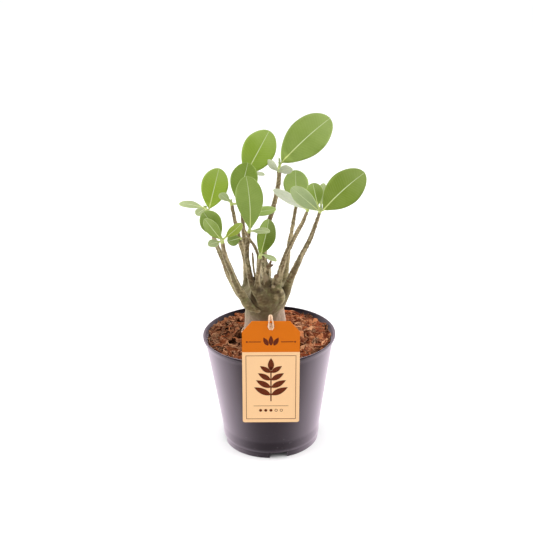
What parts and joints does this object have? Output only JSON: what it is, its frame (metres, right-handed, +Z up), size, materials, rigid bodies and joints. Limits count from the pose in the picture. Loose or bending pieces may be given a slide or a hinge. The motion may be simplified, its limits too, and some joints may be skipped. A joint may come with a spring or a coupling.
{
  "type": "potted desert rose (adenium)",
  "caption": "Small desert rose with a smooth swollen trunk and thin leafy branches, in a tapered plastic nursery pot of bark chips, with a blank swing tag.",
  "frame": {"origin": "on the pot's axis, on the surface that the pot stands on, which is the bottom centre of the whole object's box to within 2 mm", "axes": "+Z up along the plant, -Y to the front where the swing tag hangs, +X to the right"},
  "size_m": [0.1619, 0.1226, 0.295],
  "materials": {
    "pot_plastic": "black moulded plastic with a soft sheen",
    "bark_chips": "rough red-brown bark and coir chips",
    "living_bark": "grey-brown bark, smooth on the trunk and scarred on the branches",
    "leaf": "smooth green leaf with a pale midrib, satin above and paler beneath",
    "tag_card": "printed card, orange band over cream",
    "tie_cord": "thin pale twisted cord"
  },
  "bodies": {
    "root": {"pot": "pot_plastic", "growing_medium": "bark_chips", "trunk_and_branches": "living_bark", "leaves_tall_branch": "leaf", "leaves_fork": "leaf", "leaves_left_rear_branch": "leaf", "leaves_front_branch": "leaf", "leaves_far_left_branch": "leaf", "leaves_left_branch": "leaf", "leaves_centre_branch": "leaf", "leaves_far_right_branch": "leaf", "leaves_right_branch": "leaf", "leaves_right_rear_branch": "leaf", "leaf_low_on_fork": "leaf", "leaf_high_on_fork": "leaf", "hang_tag": "tag_card", "tag_tie": "tie_cord"}
  },
  "joints": []
}
